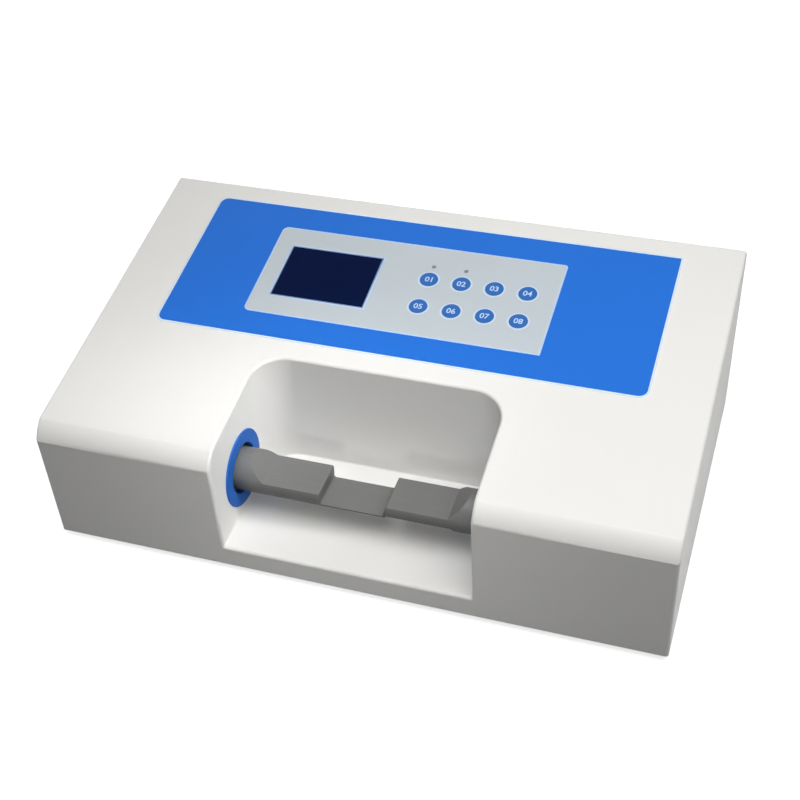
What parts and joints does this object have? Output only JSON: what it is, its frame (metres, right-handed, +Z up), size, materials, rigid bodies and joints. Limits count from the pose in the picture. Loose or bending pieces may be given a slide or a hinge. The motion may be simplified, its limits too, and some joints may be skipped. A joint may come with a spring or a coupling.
{
  "type": "tablet hardness tester",
  "caption": "Benchtop tablet hardness tester: sloped case with keypad and display, and an open bay where a driven plunger with a tray presses a tablet on a fixed anvil.",
  "frame": {"origin": "middle of the case in plan, on the surface that the feet stand on", "axes": "+X to the right of an operator facing the front, +Y to the back, +Z up; the plunger moves along +X"},
  "size_m": [0.37, 0.22, 0.1236],
  "materials": {
    "case_white": "fine satin moulding",
    "plate_grey": "satin powder coat",
    "foot_rubber": "matt",
    "screw_zinc": "bright zinc",
    "overlay_blue": "satin printed film",
    "field_grey": "satin printed film",
    "display_dark": "gloss",
    "key_blue": "satin",
    "lamp_dark": "gloss",
    "ring_blue": "satin",
    "jaw_steel": "fine milled",
    "bronze": "turned",
    "machined_aluminium": "milled",
    "steel": "ground",
    "gear_nylon": "moulded",
    "board_green": "solder mask",
    "part_black": "moulded",
    "core_iron": "varnished",
    "coil_tape": "taped"
  },
  "bodies": {
    "root": {"anvil": "jaw_steel", "anvil_ring": "ring_blue", "base_plate": "plate_grey", "bearing_block": "machined_aluminium", "blue_overlay": "overlay_blue", "board_parts": "part_black", "board_screws": "screw_zinc", "board_standoffs": "steel", "cell_bolts": "screw_zinc", "cell_bracket": "machined_aluminium", "cover_screws": "screw_zinc", "display_module": "part_black", "display_window": "display_dark", "drive_bracket": "machined_aluminium", "feet": "foot_rubber", "foot_screws": "screw_zinc", "frame_screws": "screw_zinc", "fuse_holder": "part_black", "gear_motor": "steel", "guide_rod": "steel", "indicator_lamps": "lamp_dark", "inlet_screws": "screw_zinc", "keypad_board": "board_green", "keypad_field": "field_grey", "limit_switches": "part_black", "load_cell": "machined_aluminium", "main_board": "board_green", "motor_screws": "screw_zinc", "overload_stop": "steel", "panel_screws": "screw_zinc", "plunger_bush": "bronze", "plunger_ring": "ring_blue", "power_inlet": "part_black", "power_switch": "part_black", "screw_bearing": "steel", "serial_port": "part_black", "tact_switches": "part_black", "transformer_coil": "coil_tape", "transformer_core": "core_iron", "transformer_strap": "steel", "upper_cover": "case_white"},
    "plunger": {"plunger": "jaw_steel", "drive_nut": "bronze", "guide_arm": "machined_aluminium", "nut_screws": "screw_zinc"},
    "screw": {"lead_screw": "steel", "screw_gear": "gear_nylon"},
    "pinion": {"motor_pinion": "gear_nylon", "motor_shaft": "steel"},
    "rocker": {"switch_rocker": "part_black"},
    "key_1": {"key_1": "key_blue"},
    "key_2": {"key_2": "key_blue"},
    "key_3": {"key_3": "key_blue"},
    "key_4": {"key_4": "key_blue"},
    "key_5": {"key_5": "key_blue"},
    "key_6": {"key_6": "key_blue"},
    "key_7": {"key_7": "key_blue"},
    "key_8": {"key_8": "key_blue"}
  },
  "joints": [
    {"name": "plunger_slide", "type": "slide", "parent": "root", "child": "plunger", "axis": [1, 0, 0], "range_m": [0, 0.038]},
    {"name": "screw_spin", "type": "hinge", "parent": "root", "child": "screw", "pos_m": [-0.12, -0.072, 0.04975], "axis": [-1, 0, 0], "range_deg": [0, 2736]},
    {"name": "pinion_spin", "type": "hinge", "parent": "root", "child": "pinion", "pos_m": [-0.17, -0.0315, 0.04975], "axis": [-1, 0, 0], "range_deg": [-5472, 0]},
    {"name": "rocker_rock", "type": "hinge", "parent": "root", "child": "rocker", "pos_m": [-0.096, 0.1045, 0.046], "axis": [-1, 0, 0], "range_deg": [0, 20]},
    {"name": "key_1_press", "type": "slide", "parent": "root", "child": "key_1", "axis": [0, 0.1589, -0.9873], "range_m": [0, 0.00045], "stiffness_N_per_m": 1500},
    {"name": "key_2_press", "type": "slide", "parent": "root", "child": "key_2", "axis": [0, 0.1589, -0.9873], "range_m": [0, 0.00045], "stiffness_N_per_m": 1500},
    {"name": "key_3_press", "type": "slide", "parent": "root", "child": "key_3", "axis": [0, 0.1589, -0.9873], "range_m": [0, 0.00045], "stiffness_N_per_m": 1500},
    {"name": "key_4_press", "type": "slide", "parent": "root", "child": "key_4", "axis": [0, 0.1589, -0.9873], "range_m": [0, 0.00045], "stiffness_N_per_m": 1500},
    {"name": "key_5_press", "type": "slide", "parent": "root", "child": "key_5", "axis": [0, 0.1589, -0.9873], "range_m": [0, 0.00045], "stiffness_N_per_m": 1500},
    {"name": "key_6_press", "type": "slide", "parent": "root", "child": "key_6", "axis": [0, 0.1589, -0.9873], "range_m": [0, 0.00045], "stiffness_N_per_m": 1500},
    {"name": "key_7_press", "type": "slide", "parent": "root", "child": "key_7", "axis": [0, 0.1589, -0.9873], "range_m": [0, 0.00045], "stiffness_N_per_m": 1500},
    {"name": "key_8_press", "type": "slide", "parent": "root", "child": "key_8", "axis": [0, 0.1589, -0.9873], "range_m": [0, 0.00045], "stiffness_N_per_m": 1500}
  ],
  "couplings": [
    {"joint": "screw_spin", "follows": "plunger_slide", "rad_per_m": 1256.6},
    {"joint": "pinion_spin", "follows": "plunger_slide", "rad_per_m": -2513.3}
  ]
}
